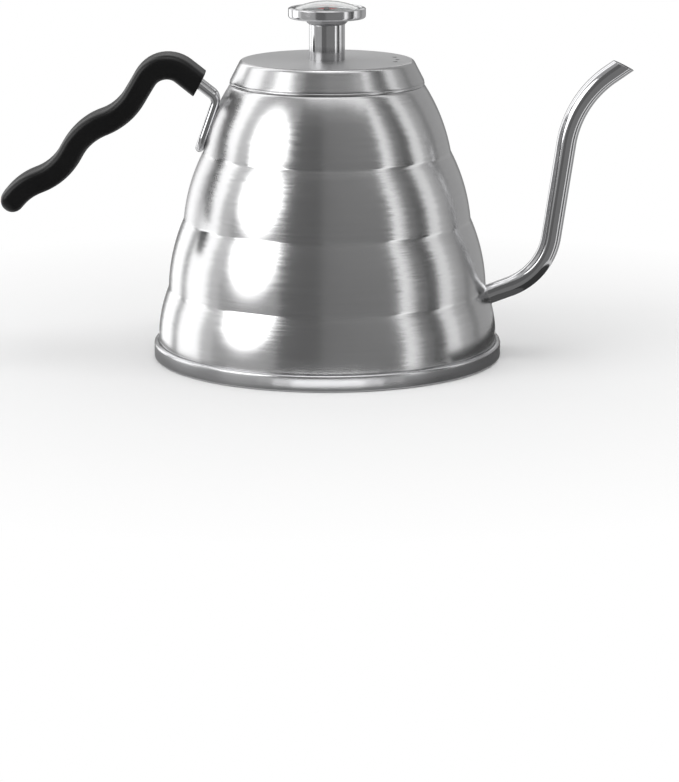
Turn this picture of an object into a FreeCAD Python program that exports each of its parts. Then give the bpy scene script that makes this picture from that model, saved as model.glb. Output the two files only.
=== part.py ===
import FreeCAD
import Part
import Sketcher
import math
import os
import re

# Gooseneck kettle in millimetres: +Z up, +X to the spout, the origin at the middle of the foot.

sizes = {
    # foot: steel cap, aluminium disc and floor pan
    "rim_radius": 75.0,
    "rim_height": 7.1,
    "rim_round": 1.2,
    "hem_inner": 73.4,
    "hem_thick": 0.7,
    "sheet": 0.6,
    "spreader_radius": 70.0,
    "spreader_thick": 4.6,
    "flange_radius": 74.3,
    # wall: radius and height of each crease between the four tiers
    "foot_radius": 73.0,
    "low_crease_radius": 68.5,
    "low_crease_height": 30.4,
    "mid_crease_radius": 61.7,
    "mid_crease_height": 60.0,
    "top_crease_radius": 53.0,
    "top_crease_height": 89.0,
    "shoulder_radius": 41.9,
    "shoulder_height": 117.0,
    "mouth_height": 118.0,
    "mouth_radius": 37.9,
    "lip_drop": 5.0,
    "edge_round": 1.0,
    "shoulder_land": 41.0,
    "foot_tier_bulge": 59.0,
    "tier_bulge": 78.0,
    # spout: corners of its path before the bends are rounded
    "spout_radius": 4.25,
    "spout_start_reach": 60.0,
    "spout_start_height": 22.7,
    "spout_low_reach": 94.3,
    "spout_low_height": 35.5,
    "spout_low_bend": 27.5,
    "spout_high_reach": 105.2,
    "spout_high_height": 111.1,
    "spout_high_bend": 44.0,
    "spout_tip_reach": 126.3,
    "spout_tip_height": 125.7,
    "spout_tip_slant": 26.3,
    "spout_tip_spare": 6.0,
    "tip_block": 42.0,
    # handle: corners of the grip's wavy middle line, then of the wire
    "grip_half_thick": 5.0,
    "grip_half_flat": 5.0,
    "grip_mouth_reach": -54.3,
    "grip_mouth_height": 117.9,
    "grip_crest_reach": -70.9,
    "grip_crest_height": 131.1,
    "grip_crest_bend": 11.0,
    "grip_dip_reach": -86.7,
    "grip_dip_height": 105.0,
    "grip_hump_reach": -104.1,
    "grip_hump_height": 97.7,
    "grip_wave_bend": 26.0,
    "grip_low_dip_reach": -114.7,
    "grip_low_dip_height": 80.1,
    "grip_low_hump_reach": -129.5,
    "grip_low_hump_height": 73.5,
    "grip_end_reach": -134.8,
    "grip_end_height": 67.9,
    "wire_radius": 1.8,
    "wire_channel": 1.85,
    "wire_gap": 11.4,
    "wire_start_reach": -81.9,
    "wire_start_height": 112.9,
    "wire_elbow_reach": -46.9,
    "wire_elbow_height": 112.1,
    "wire_elbow_bend": 4.0,
    "wire_foot_reach": -52.7,
    "wire_foot_height": 95.7,
    # lid
    "lid_radius": 41.4,
    "lid_low": 118.3,
    "lid_hem_top": 119.6,
    "lid_hem_width": 1.1,
    "lid_skirt_radius": 37.3,
    "lid_skirt_height": 127.4,
    "lid_round": 1.5,
    "lid_edge_radius": 36.0,
    "lid_top": 128.2,
    "plug_radius": 37.5,
    "plug_low": 109.5,
    "plug_flange_low": 118.5,
    "vent_circle": 30.0,
    "vent_radius": 1.1,
    "vent_step": 15.0,
    # knob post and what holds it in the lid
    "post_radius": 7.6,
    "post_top": 143.4,
    "post_bore": 5.0,
    "post_floor": 131.2,
    "neck_radius": 4.0,
    "neck_low": 121.5,
    "neck_play": 0.05,
    "washer_radius": 8.5,
    "washer_thick": 1.0,
    "nut_flats": 13.0,
    "nut_thick": 4.0,
    # thermometer case on top of the post
    "cup_radius": 16.5,
    "cup_top": 150.3,
    "cup_bore": 15.7,
    "cup_floor_low": 145.8,
    "cup_floor_top": 146.6,
    "cup_round": 1.3,
    "cup_boss_radius": 9.2,
    "cup_boss_bulge": 3.0,
    "cup_neck_radius": 7.8,
    "cup_spigot_low": 139.5,
    "shoulder_bore": 14.2,
    "dial_low": 148.85,
    "dial_thick": 0.3,
    "dial_radius": 15.6,
    "dial_hole": 0.9,
    "gasket_thick": 0.2,
    "lens_flange": 0.3,
    "lens_radius": 14.8,
    "lens_bore": 13.9,
    "lens_top": 153.1,
    "lens_thick": 1.0,
    # probe and its works
    "probe_radius": 2.0,
    "probe_bore": 1.5,
    "probe_low": 26.0,
    "probe_play": 0.05,
    "tip_low": 22.5,
    "tip_spigot_top": 28.5,
    "spindle_radius": 0.5,
    "spindle_play": 0.03,
    "spindle_top": 150.0,
    "collar_radius": 1.3,
    "collar_low": 60.2,
    "collar_thick": 1.2,
    "bush_length": 3.0,
    "low_bush_height": 66.0,
    "coil_radius": 1.0,
    "coil_wire": 0.2,
    "coil_turns": 12.0,
    "hub_radius": 1.5,
    "hub_low": 149.3,
    "hub_thick": 0.4,
    "hub_neck": 0.75,
    "hub_top": 150.3,
    "needle_thick": 0.25,
    "needle_length": 10.8,
    "needle_tail": 4.2,
    "needle_half_width": 0.9,
    "needle_half_tip": 0.2,
}

doc = FreeCAD.newDocument("gooseneck_kettle")
dims = doc.addObject("Spreadsheet::Sheet", "dims")
for row, (alias, number) in enumerate(sizes.items(), start=1):
    dims.set(f"A{row}", alias)
    dims.set(f"B{row}", str(number))
    dims.setAlias(f"B{row}", alias)
doc.recompute()


def size(expression):
    return float(dims.evalExpression(expression))


def linked(expression):
    def with_sheet(word):
        return "dims." + word.group() if word.group() in sizes else word.group()
    return re.sub(r"[a-z_]+", with_sheet, expression)


def bind(target, **expressions):
    for name, expression in expressions.items():
        target.setExpression(name, linked(expression))


def bind_constraint(sketch, kind, *where, expression):
    index = sketch.addConstraint(Sketcher.Constraint(kind, *where, size(expression)))
    sketch.setExpression(f"Constraints[{index}]", linked(expression))


# the numbers by which a sketch knows its own axes
axes = {"x": -1, "y": -2}


# the point of a sketch's edge is held at (x, y), or on an axis where the expression is a plain 0
def hold_point(sketch, edge, end, x, y):
    for kind, expression, axis in (("DistanceX", x, "y"), ("DistanceY", y, "x")):
        if expression == "0":
            sketch.addConstraint(Sketcher.Constraint("PointOnObject", edge, end, axes[axis]))
        else:
            bind_constraint(sketch, kind, -1, 1, edge, end, expression=expression)


# the arc's size is a radius, or "x" or "y" where its centre lies on that axis of the sketch
def arc_radius(start, finish, bend):
    if bend not in axes:
        return size(bend)
    along = FreeCAD.Vector(bend == "x", bend == "y", 0)
    spread = finish.dot(finish) - start.dot(start)
    return (along * (spread / 2 / along.dot(finish - start)) - start).Length


def arc_between(start, finish, radius, turn):
    chord = finish - start
    rise = math.sqrt(max(0, radius ** 2 - (chord.Length / 2) ** 2))
    leftward = FreeCAD.Vector(-chord.y, chord.x, 0).normalize()
    centre = (start + finish) * 0.5 + leftward * rise * turn
    first, last = (start, finish) if turn > 0 else (finish, start)
    angles = [math.atan2(point.y - centre.y, point.x - centre.x) for point in (first, last)]
    return Part.ArcOfCircle(Part.Circle(centre, FreeCAD.Vector(0, 0, 1), radius), *angles)


# a closed outline: each corner is (x, y), or (x, y, bend, turn) where an arc leads on to the next,
# with turn 1 for an anticlockwise arc and -1 for a clockwise one
def add_outline(sketch, corners):
    points = [FreeCAD.Vector(size(corner[0]), size(corner[1]), 0) for corner in corners]
    edges = []
    for index, corner in enumerate(corners):
        start = points[index]
        finish = points[(index + 1) % len(points)]
        if len(corner) == 2:
            edges.append((sketch.addGeometry(Part.LineSegment(start, finish)), 1, 2))
        else:
            bend, turn = corner[2:]
            arc = arc_between(start, finish, arc_radius(start, finish, bend), turn)
            edge = sketch.addGeometry(arc)
            edges.append((edge, 1, 2) if turn > 0 else (edge, 2, 1))
    for index, corner in enumerate(corners):
        edge, start_end, finish_end = edges[index]
        following, following_start, _ = edges[(index + 1) % len(edges)]
        sketch.addConstraint(
            Sketcher.Constraint("Coincident", edge, finish_end, following, following_start))
        hold_point(sketch, edge, start_end, corner[0], corner[1])
        if len(corner) > 2 and corner[2] in axes:
            sketch.addConstraint(Sketcher.Constraint("PointOnObject", edge, 3, axes[corner[2]]))
        elif len(corner) > 2:
            bind_constraint(sketch, "Radius", edge, expression=corner[2])


def add_circle(sketch, radius, x="0", y="0"):
    centre = FreeCAD.Vector(size(x), size(y), 0)
    circle = sketch.addGeometry(Part.Circle(centre, FreeCAD.Vector(0, 0, 1), size(radius)))
    hold_point(sketch, circle, 3, x, y)
    bind_constraint(sketch, "Radius", circle, expression=radius)


def body_sketch(body, name, role, height="0"):
    sketch = body.newObject("Sketcher::SketchObject", name)
    plane = next(item for item in body.Origin.OriginFeatures if item.Role == role)
    sketch.AttachmentSupport = [(plane, "")]
    sketch.MapMode = "FlatFace"
    sketch.setExpression("AttachmentOffset.Base.z", linked(height))
    return sketch


def turned(label, corners):
    body = doc.addObject("PartDesign::Body", label)
    sketch = body_sketch(body, label + "_profile", "XZ_Plane")
    add_outline(sketch, corners)
    revolution = body.newObject("PartDesign::Revolution", label + "_turning")
    revolution.Profile = sketch
    revolution.ReferenceAxis = (sketch, ["V_Axis"])
    revolution.Angle = 360
    body.Tip = revolution
    return body


def ring(label, inner, outer, low, high):
    return turned(label, [(inner, low), (outer, low), (outer, high), (inner, high)])


def disc(label, radius, low, high):
    return ring(label, "0", radius, low, high)


# straight runs joined by tangent arcs: each corner is (x, z), or (x, z, radius) where the path bends
def bent_path(name, corners):
    sketch = doc.addObject("Sketcher::SketchObject", name)
    sketch.Placement = FreeCAD.Placement(FreeCAD.Vector(), FreeCAD.Rotation(FreeCAD.Vector(1, 0, 0), 90))
    points = [FreeCAD.Vector(size(corner[0]), size(corner[1]), 0) for corner in corners]
    bends = []
    for before, corner, after, spec in zip(points, points[1:], points[2:], corners[1:]):
        back = (before - corner).normalize()
        onward = (after - corner).normalize()
        half = back.getAngle(onward) / 2
        reach = size(spec[2]) / math.tan(half)
        turn = 1 if (corner - before).cross(after - corner).z > 0 else -1
        bends.append((corner + back * reach, corner + onward * reach, turn))
    run_starts = [points[0]] + [bend[1] for bend in bends]
    run_ends = [bend[0] for bend in bends] + [points[-1]]
    chain = []
    for index, (start, finish) in enumerate(zip(run_starts, run_ends)):
        chain.append((sketch.addGeometry(Part.LineSegment(start, finish)), 1, 2))
        if index < len(bends):
            start, finish, turn = bends[index]
            arc = sketch.addGeometry(arc_between(start, finish, size(corners[index + 1][2]), turn))
            chain.append((arc, 1, 2) if turn > 0 else (arc, 2, 1))
    for (edge, _, finish_end), (following, following_start, _) in zip(chain, chain[1:]):
        sketch.addConstraint(
            Sketcher.Constraint("Tangent", edge, finish_end, following, following_start))
    runs = chain[0::2]
    arcs = chain[1::2]
    hold_point(sketch, runs[0][0], 1, *corners[0])
    hold_point(sketch, runs[-1][0], 2, *corners[-1])
    for index, (arc, _, _) in enumerate(arcs):
        x, z, radius = corners[index + 1]
        bind_constraint(sketch, "Radius", arc, expression=radius)
        mark = sketch.addGeometry(Part.Point(points[index + 1]), True)
        hold_point(sketch, mark, 1, x, z)
        for run in (runs[index], runs[index + 1]):
            sketch.addConstraint(Sketcher.Constraint("PointOnObject", mark, 1, run[0]))
    return sketch


def section_sketch(path, name):
    sketch = doc.addObject("Sketcher::SketchObject", name)
    sketch.AttachmentSupport = [(path, "Edge1")]
    sketch.MapMode = "NormalToEdge"
    return sketch


def swept(name, path, section):
    doc.recompute()
    sweep = doc.addObject("Part::Sweep", name)
    sweep.Sections = [section]
    sweep.Spine = (path, [f"Edge{index + 1}" for index in range(len(path.Shape.Edges))])
    sweep.Solid = True
    return sweep


def round_sweep(name, path, radius):
    section = section_sketch(path, name + "_section")
    add_circle(section, radius)
    return swept(name, path, section)


def cut(label, base, tool):
    result = doc.addObject("Part::Cut", label)
    result.Base = base
    result.Tool = tool
    return result


def fused(label, pieces):
    result = doc.addObject("Part::MultiFuse", label)
    result.Shapes = pieces
    return result


def make_foot():
    cap = turned("base_cap", [
        ("0", "0"),
        ("rim_radius - rim_round", "0", "rim_round", 1),
        ("rim_radius", "rim_round"),
        ("rim_radius", "rim_height - rim_round", "rim_round", 1),
        ("rim_radius - rim_round", "rim_height"),
        ("hem_inner", "rim_height"),
        ("hem_inner", "rim_height - hem_thick"),
        ("rim_radius - sheet", "rim_height - hem_thick"),
        ("rim_radius - sheet", "sheet"),
        ("0", "sheet"),
    ])
    spreader = disc("heat_spreader", "spreader_radius", "sheet", "sheet + spreader_thick")
    floor = disc("floor_pan", "flange_radius", "sheet + spreader_thick", "2 * sheet + spreader_thick")
    return [cap, spreader, floor]


# corners of the wall's outside from the flange up to the shoulder, moved in by the given amount
def wall_corners(inward, turn):
    tiers = [
        (f"foot_radius - {inward}", "rim_height - hem_thick", "foot_tier_bulge", turn),
        (f"low_crease_radius - {inward}", "low_crease_height", "tier_bulge", turn),
        (f"mid_crease_radius - {inward}", "mid_crease_height", "tier_bulge", turn),
        (f"top_crease_radius - {inward}", "top_crease_height", "tier_bulge", turn),
    ]
    return tiers, (f"shoulder_radius - {inward}", "shoulder_height")


def reversed_corners(tiers, last):
    places = [corner[:2] for corner in tiers] + [last]
    bends = [corner[2] for corner in tiers]
    return [(*place, bend, -1) for place, bend in zip(places[:0:-1], bends[::-1])] + [places[0]]


def make_envelope():
    tiers, shoulder = wall_corners("0", 1)
    low_centre = ("0", "rim_height - hem_thick")
    high_centre = ("0", "shoulder_height")
    return turned("wall_envelope", [low_centre, *tiers, shoulder, high_centre])


def spout_path():
    tip_run = "spout_tip_{0} + (spout_tip_{0} - spout_high_{0}) * spout_tip_spare / spout_high_bend"
    return bent_path("spout_path", [
        ("spout_start_reach", "spout_start_height"),
        ("spout_low_reach", "spout_low_height", "spout_low_bend"),
        ("spout_high_reach", "spout_high_height", "spout_high_bend"),
        (tip_run.format("reach"), tip_run.format("height")),
    ])


def make_shell(bore):
    outer, outer_shoulder = wall_corners("0", 1)
    inner, inner_shoulder = wall_corners("sheet", -1)
    flange_low = "2 * sheet + spreader_thick"
    wall = turned("shell_wall", [
        ("flange_radius", flange_low),
        ("flange_radius", "rim_height - hem_thick"),
        *outer,
        (*outer_shoulder, "edge_round", 1),
        ("shoulder_land", "mouth_height"),
        ("mouth_radius + edge_round", "mouth_height", "edge_round", 1),
        ("mouth_radius", "mouth_height - edge_round"),
        ("mouth_radius", "mouth_height - lip_drop"),
        ("mouth_radius + sheet", "mouth_height - lip_drop"),
        ("mouth_radius + sheet", "mouth_height - sheet"),
        ("shoulder_radius - 2 * sheet", "mouth_height - sheet"),
        *reversed_corners(inner, inner_shoulder),
        ("foot_radius - sheet", flange_low),
    ])
    return cut("body_shell", wall, bore)


def make_spout(path, bore, envelope):
    tube = cut("spout_pipe", round_sweep("spout_outside", path, "spout_radius"), bore)
    trimmed = cut("spout_trimmed", tube, envelope)
    block = doc.addObject("Part::Box", "tip_block")
    bind(block, Length="tip_block", Width="tip_block", Height="tip_block")
    slant = FreeCAD.Rotation(FreeCAD.Vector(0, 1, 0), size("spout_tip_slant"))
    tip = FreeCAD.Vector(size("spout_tip_reach"), 0, size("spout_tip_height"))
    corner = FreeCAD.Vector(1, 1, 0) * size("tip_block / 2")
    block.Placement = FreeCAD.Placement(tip - slant.multVec(corner), slant)
    return cut("spout_tube", trimmed, block)


def wire_path(name):
    path = bent_path(name, [
        ("wire_start_reach", "wire_start_height"),
        ("grip_crest_reach", "grip_crest_height", "grip_crest_bend"),
        ("wire_elbow_reach", "wire_elbow_height", "wire_elbow_bend"),
        ("wire_foot_reach", "wire_foot_height"),
    ])
    path.setExpression("Placement.Base.y", linked("-wire_gap / 2"))
    return path


def mirrored(name, source):
    mirror = doc.addObject("Part::Mirroring", name)
    mirror.Source = source
    mirror.Normal = FreeCAD.Vector(0, 1, 0)
    return mirror


def make_wire(path, envelope):
    leg = round_sweep("wire_leg", path, "wire_radius")
    bend = doc.addObject("Part::Torus", "wire_bend")
    bind(bend, Radius1="wire_gap / 2", Radius2="wire_radius")
    bend.Angle3 = 180
    foot = FreeCAD.Vector(size("wire_foot_reach"), 0, size("wire_foot_height"))
    elbow = FreeCAD.Vector(size("wire_elbow_reach"), 0, size("wire_elbow_height"))
    across = FreeCAD.Vector(0, 1, 0)
    down = (foot - elbow).normalize()
    bend.Placement = FreeCAD.Placement(foot, FreeCAD.Rotation(across, down, across.cross(down), "ZXY"))
    hairpin = fused("wire_hairpin", [leg, mirrored("wire_far_leg", leg), bend])
    return cut("handle_wire", hairpin, envelope)


def make_grip(wire_run):
    path = bent_path("grip_path", [
        ("grip_mouth_reach", "grip_mouth_height"),
        ("grip_crest_reach", "grip_crest_height", "grip_crest_bend"),
        ("grip_dip_reach", "grip_dip_height", "grip_wave_bend"),
        ("grip_hump_reach", "grip_hump_height", "grip_wave_bend"),
        ("grip_low_dip_reach", "grip_low_dip_height", "grip_wave_bend"),
        ("grip_low_hump_reach", "grip_low_hump_height", "grip_wave_bend"),
        ("grip_end_reach", "grip_end_height"),
    ])
    section = section_sketch(path, "grip_section")
    add_outline(section, [
        ("-grip_half_flat", "-grip_half_thick"),
        ("grip_half_flat", "-grip_half_thick", "x", 1),
        ("grip_half_flat + grip_half_thick", "0", "x", 1),
        ("grip_half_flat", "grip_half_thick"),
        ("-grip_half_flat", "grip_half_thick", "x", 1),
        ("-grip_half_flat - grip_half_thick", "0", "x", 1),
    ])
    pieces = [swept("grip_bar", path, section)]
    end = FreeCAD.Vector(size("grip_end_reach"), 0, size("grip_end_height"))
    half_flat = FreeCAD.Vector(0, size("grip_half_flat"), 0)
    for name, offset in (("grip_near_ball", half_flat * -1), ("grip_far_ball", half_flat)):
        ball = doc.addObject("Part::Sphere", name)
        bind(ball, Radius="grip_half_thick")
        ball.Placement.Base = end + offset
        pieces.append(ball)
    roll = doc.addObject("Part::Cylinder", "grip_end_roll")
    bind(roll, Radius="grip_half_thick", Height="2 * grip_half_flat")
    roll.Placement = FreeCAD.Placement(end + half_flat, FreeCAD.Rotation(FreeCAD.Vector(1, 0, 0), 90))
    solid = fused("grip_solid", [*pieces, roll])
    channel = round_sweep("wire_channel_near", wire_run, "wire_channel")
    channels = fused("wire_channels", [channel, mirrored("wire_channel_far", channel)])
    return cut("handle_grip", solid, channels)


def make_lid():
    inside_top = "lid_top - sheet"
    cap = turned("lid_cap", [
        ("neck_radius + neck_play", inside_top),
        ("lid_edge_radius - sheet", inside_top),
        ("lid_skirt_radius - sheet", "lid_skirt_height - sheet / 2"),
        ("lid_radius - lid_hem_width", "lid_hem_top"),
        ("lid_radius - lid_hem_width", "lid_low"),
        ("lid_radius", "lid_low"),
        ("lid_radius", "lid_hem_top"),
        ("lid_skirt_radius", "lid_skirt_height", "lid_round", 1),
        ("lid_edge_radius", "lid_top"),
        ("neck_radius + neck_play", "lid_top"),
    ])
    sketch = body_sketch(cap, "vent_hole", "XY_Plane", "lid_top + sheet")
    add_circle(sketch, "vent_radius", "vent_circle * cos(vent_step)", "-vent_circle * sin(vent_step)")
    doc.recompute()
    before = cap.Shape.Volume
    vent = cap.newObject("PartDesign::Pocket", "vent_drilling")
    vent.Profile = sketch
    bind(vent, Length="3 * sheet")
    vents = cap.newObject("PartDesign::PolarPattern", "vent_row")
    vents.Originals = [vent]
    vents.Axis = (sketch, ["N_Axis"])
    bind(vents, Angle="2 * vent_step")
    vents.Occurrences = 3
    cap.Tip = vents
    doc.recompute()
    drilled = (before - cap.Shape.Volume) / (math.pi * size("vent_radius") ** 2 * size("sheet"))
    print("vent holes drilled", round(drilled, 2))
    plug = turned("lid_plug", [
        ("plug_radius - sheet", "plug_low"),
        ("plug_radius", "plug_low"),
        ("plug_radius", "plug_flange_low"),
        ("lid_radius - lid_hem_width", "plug_flange_low"),
        ("lid_radius - lid_hem_width", "plug_flange_low + sheet"),
        ("plug_radius - sheet", "plug_flange_low + sheet"),
    ])
    return [cap, plug]


def make_post():
    post = turned("knob_post", [
        ("probe_radius + 2 * probe_play", "neck_low"),
        ("neck_radius", "neck_low"),
        ("neck_radius", "lid_top"),
        ("post_radius", "lid_top"),
        ("post_radius", "post_top"),
        ("post_bore", "post_top"),
        ("post_bore", "post_floor"),
        ("probe_radius + 2 * probe_play", "post_floor"),
    ])
    washer_low = "lid_top - sheet - washer_thick"
    hole = "neck_radius + neck_play"
    washer = ring("seal_washer", hole, "washer_radius", washer_low, "lid_top - sheet")
    nut = doc.addObject("PartDesign::Body", "lock_nut")
    sketch = body_sketch(nut, "nut_outline", "XY_Plane", washer_low + " - nut_thick")
    corner = "nut_flats / sqrt(3)"
    half_corner = "nut_flats / sqrt(3) / 2"
    add_outline(sketch, [
        (corner, "0"),
        (half_corner, "nut_flats / 2"),
        ("-" + half_corner, "nut_flats / 2"),
        ("-" + corner, "0"),
        ("-" + half_corner, "-nut_flats / 2"),
        (half_corner, "-nut_flats / 2"),
    ])
    add_circle(sketch, hole)
    pad = nut.newObject("PartDesign::Pad", "nut_pad")
    pad.Profile = sketch
    bind(pad, Length="nut_thick")
    nut.Tip = pad
    return [post, washer, nut]


def make_case():
    bore = "probe_radius + probe_play"
    cup = turned("knob_cup", [
        (bore, "cup_spigot_low"),
        ("post_bore - neck_play", "cup_spigot_low"),
        ("post_bore - neck_play", "post_top"),
        ("cup_neck_radius", "post_top", "cup_boss_bulge", 1),
        ("cup_boss_radius", "cup_floor_low"),
        ("cup_radius - cup_round", "cup_floor_low", "cup_round", 1),
        ("cup_radius", "cup_floor_low + cup_round"),
        ("cup_radius", "cup_top"),
        ("cup_bore", "cup_top"),
        ("cup_bore", "dial_low"),
        ("shoulder_bore", "dial_low"),
        ("shoulder_bore", "cup_floor_top"),
        (bore, "cup_floor_top"),
    ])
    dial_top = "dial_low + dial_thick"
    gasket_top = dial_top + " + gasket_thick"
    flange_top = gasket_top + " + lens_flange"
    dial = ring("dial_face", "dial_hole", "dial_radius", "dial_low", dial_top)
    gasket = ring("lens_gasket", "shoulder_bore", "dial_radius", dial_top, gasket_top)
    lens = turned("lens", [
        ("0", "lens_top - lens_thick", "y", -1),
        ("lens_bore", gasket_top),
        ("dial_radius", gasket_top),
        ("dial_radius", flange_top),
        ("lens_radius", flange_top, "y", 1),
        ("0", "lens_top"),
    ])
    bezel = ring("bezel_ring", "lens_radius + neck_play", "cup_bore - neck_play", flange_top, "cup_top")
    return [cup, dial, gasket, lens, bezel]


def make_probe():
    tube = ring("probe_tube", "probe_bore", "probe_radius", "probe_low", "cup_floor_top")
    tip = turned("probe_tip", [
        ("0", "tip_low", "y", 1),
        ("probe_radius", "tip_low + probe_radius"),
        ("probe_radius", "probe_low"),
        ("probe_bore - neck_play", "probe_low"),
        ("probe_bore - neck_play", "tip_spigot_top"),
        ("0", "tip_spigot_top"),
    ])
    spindle = turned("spindle", [
        ("0", "collar_low"),
        ("collar_radius", "collar_low"),
        ("collar_radius", "collar_low + collar_thick"),
        ("spindle_radius", "collar_low + collar_thick"),
        ("spindle_radius", "spindle_top"),
        ("0", "spindle_top"),
    ])
    bushes = []
    for name, low in (("low_bush", "low_bush_height"), ("top_bush", "cup_floor_top - bush_length")):
        bushes.append(ring(name, "spindle_radius + spindle_play", "probe_bore", low, low + " + bush_length"))
    pair = doc.addObject("Part::Compound", "spindle_bushes")
    pair.Links = bushes
    return [tube, tip, spindle, pair]


def make_coil():
    helix = doc.addObject("Part::Helix", "coil_line")
    low = "tip_spigot_top + coil_wire"
    high = "collar_low - coil_wire"
    bind(helix, Radius="coil_radius", Height=f"{high} - ({low})", Pitch=f"({high} - ({low})) / coil_turns")
    helix.setExpression("Placement.Base.z", linked(low))
    doc.recompute()
    coil = doc.addObject("Part::Sweep", "bimetal_coil")
    section = section_sketch(helix, "coil_section")
    add_circle(section, "coil_wire")
    coil.Sections = [section]
    coil.Spine = (helix, ["Edge1"])
    coil.Solid = True
    coil.Frenet = True
    return coil


def make_needle():
    hub = turned("needle_hub", [
        ("spindle_radius", "hub_low"),
        ("hub_radius", "hub_low"),
        ("hub_radius", "hub_low + hub_thick"),
        ("hub_neck", "hub_low + hub_thick"),
        ("hub_neck", "hub_top"),
        ("0", "hub_top"),
        ("0", "spindle_top"),
        ("spindle_radius", "spindle_top"),
    ])
    needle = doc.addObject("PartDesign::Body", "needle")
    sketch = body_sketch(needle, "needle_outline", "XY_Plane", "hub_low + hub_thick")
    add_outline(sketch, [
        ("-needle_half_width", "needle_tail"),
        ("needle_half_width", "needle_tail"),
        ("needle_half_width", "-needle_half_width"),
        ("needle_half_tip", "-needle_length"),
        ("-needle_half_tip", "-needle_length"),
        ("-needle_half_width", "-needle_half_width"),
    ])
    add_circle(sketch, "hub_neck")
    pad = needle.newObject("PartDesign::Pad", "needle_pad")
    pad.Profile = sketch
    bind(pad, Length="needle_thick")
    needle.Tip = pad
    return [hub, needle]


envelope = make_envelope()
path_of_spout = spout_path()
spout_bore = round_sweep("spout_bore", path_of_spout, "spout_radius - sheet")
path_of_wire = wire_path("wire_path")
nodes = [
    *make_foot(),
    make_shell(spout_bore),
    make_spout(path_of_spout, spout_bore, envelope),
    make_wire(path_of_wire, envelope),
    make_grip(path_of_wire),
    *make_lid(),
    *make_post(),
    *make_case(),
    *make_probe(),
    make_coil(),
    *make_needle(),
]
doc.recompute()

for item in doc.Objects:
    if "Invalid" in item.State or "Error" in item.State:
        raise RuntimeError(f"{item.Label} failed: {item.State}")
for node in nodes:
    if node.Shape.isNull() or not node.Shape.isValid():
        raise RuntimeError(f"{node.Label} has no valid shape")

os.makedirs("parts", exist_ok=True)
for node in nodes:
    node.Shape.exportStep(f"parts/{node.Label}.step")
    box = node.Shape.BoundBox
    print(f"{node.Label}: {len(node.Shape.Solids)} solid, {node.Shape.Volume:.1f} mm3,"
          f" x {box.XMin:.1f} to {box.XMax:.1f}, z {box.ZMin:.1f} to {box.ZMax:.1f}")
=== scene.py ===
import math

import bmesh
import bpy
from mathutils import Matrix, Vector


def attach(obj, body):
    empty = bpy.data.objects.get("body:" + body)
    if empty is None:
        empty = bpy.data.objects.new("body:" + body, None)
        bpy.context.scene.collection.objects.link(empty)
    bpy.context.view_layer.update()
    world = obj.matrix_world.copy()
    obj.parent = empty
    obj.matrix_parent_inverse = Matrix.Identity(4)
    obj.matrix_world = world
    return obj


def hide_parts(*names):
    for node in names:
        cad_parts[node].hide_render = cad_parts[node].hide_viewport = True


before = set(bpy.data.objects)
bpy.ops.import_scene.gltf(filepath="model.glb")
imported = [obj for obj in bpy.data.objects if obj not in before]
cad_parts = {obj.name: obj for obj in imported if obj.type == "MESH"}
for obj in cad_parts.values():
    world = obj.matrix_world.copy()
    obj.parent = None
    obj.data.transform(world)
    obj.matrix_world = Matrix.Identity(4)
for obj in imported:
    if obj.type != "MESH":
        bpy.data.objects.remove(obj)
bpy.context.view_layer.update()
scene = bpy.context.scene
scene.view_settings.view_transform = "Standard"
mm = 0.001
print("frame loaded with", len(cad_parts), "nodes")


class Port:  # an output of a node, which takes part in Python sums
    def __init__(self, bench, node, out=0):
        self.bench = bench
        self.node = node
        self.socket = node.outputs[out] if len(node.outputs) else None

    def out(self, name):
        return Port(self.bench, self.node, name)

    def maths(self, operation, *values):
        return self.bench.add("ShaderNodeMath", {"operation": operation}, dict(enumerate(values)))

    def __add__(self, other):
        return self.maths("ADD", self, other)

    def __radd__(self, other):
        return self.maths("ADD", other, self)

    def __sub__(self, other):
        return self.maths("SUBTRACT", self, other)

    def __rsub__(self, other):
        return self.maths("SUBTRACT", other, self)

    def __mul__(self, other):
        return self.maths("MULTIPLY", self, other)

    def __rmul__(self, other):
        return self.maths("MULTIPLY", other, self)

    def __truediv__(self, other):
        return self.maths("DIVIDE", self, other)

    def __rtruediv__(self, other):
        return self.maths("DIVIDE", other, self)

    def __pow__(self, other):
        return self.maths("POWER", self, other)

    def __abs__(self):
        return self.maths("ABSOLUTE", self)

    def between(self, low=0.0, high=1.0):
        return self.maths("MINIMUM", self.maths("MAXIMUM", self, low), high)


class Bench:  # one node tree, filled by a single method
    def __init__(self, tree):
        self.tree = tree

    def add(self, kind, settings=None, inputs=None, out=0):
        node = self.tree.nodes.new(kind)
        for name, value in (settings or {}).items():
            setattr(node, name, value)
        for key, value in (inputs or {}).items():
            if isinstance(value, Port):
                self.tree.links.new(value.socket, node.inputs[key])
            else:
                node.inputs[key].default_value = value
        return Port(self, node, out)


def newFinish(name):
    material = bpy.data.materials.new(name)
    material.use_nodes = True
    material.node_tree.nodes.clear()
    return material, Bench(material.node_tree)


def closeFinish(bench, inputs):
    shader = bench.add("ShaderNodeBsdfPrincipled", {}, inputs)
    bench.add("ShaderNodeOutputMaterial", {}, {"Surface": shader})


def objectAxes(bench):
    split = bench.add("ShaderNodeSeparateXYZ", {}, {0: bench.add("ShaderNodeTexCoord", out="Object")})
    return split.out("X"), split.out("Y"), split.out("Z")


def fromAxis(x, y):  # how far a point is from the kettle's axis
    return (x * x + y * y) ** 0.5


grain = {
    "gap": 1e-5,  # keeps the division sound on the axis itself
    "slope": 0.7,  # lets the brushed lines run on over a flat top
    "noiseRough": 0.6,
}


def noiseAt(bench, place, scale, detail):
    inputs = {"Vector": place, "Scale": scale, "Detail": detail, "Roughness": grain["noiseRough"]}
    return bench.add("ShaderNodeTexNoise", {}, inputs)


def plainNoise(bench, scale, detail=3.0):
    return noiseAt(bench, bench.add("ShaderNodeTexCoord", out="Object"), scale, detail)


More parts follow.
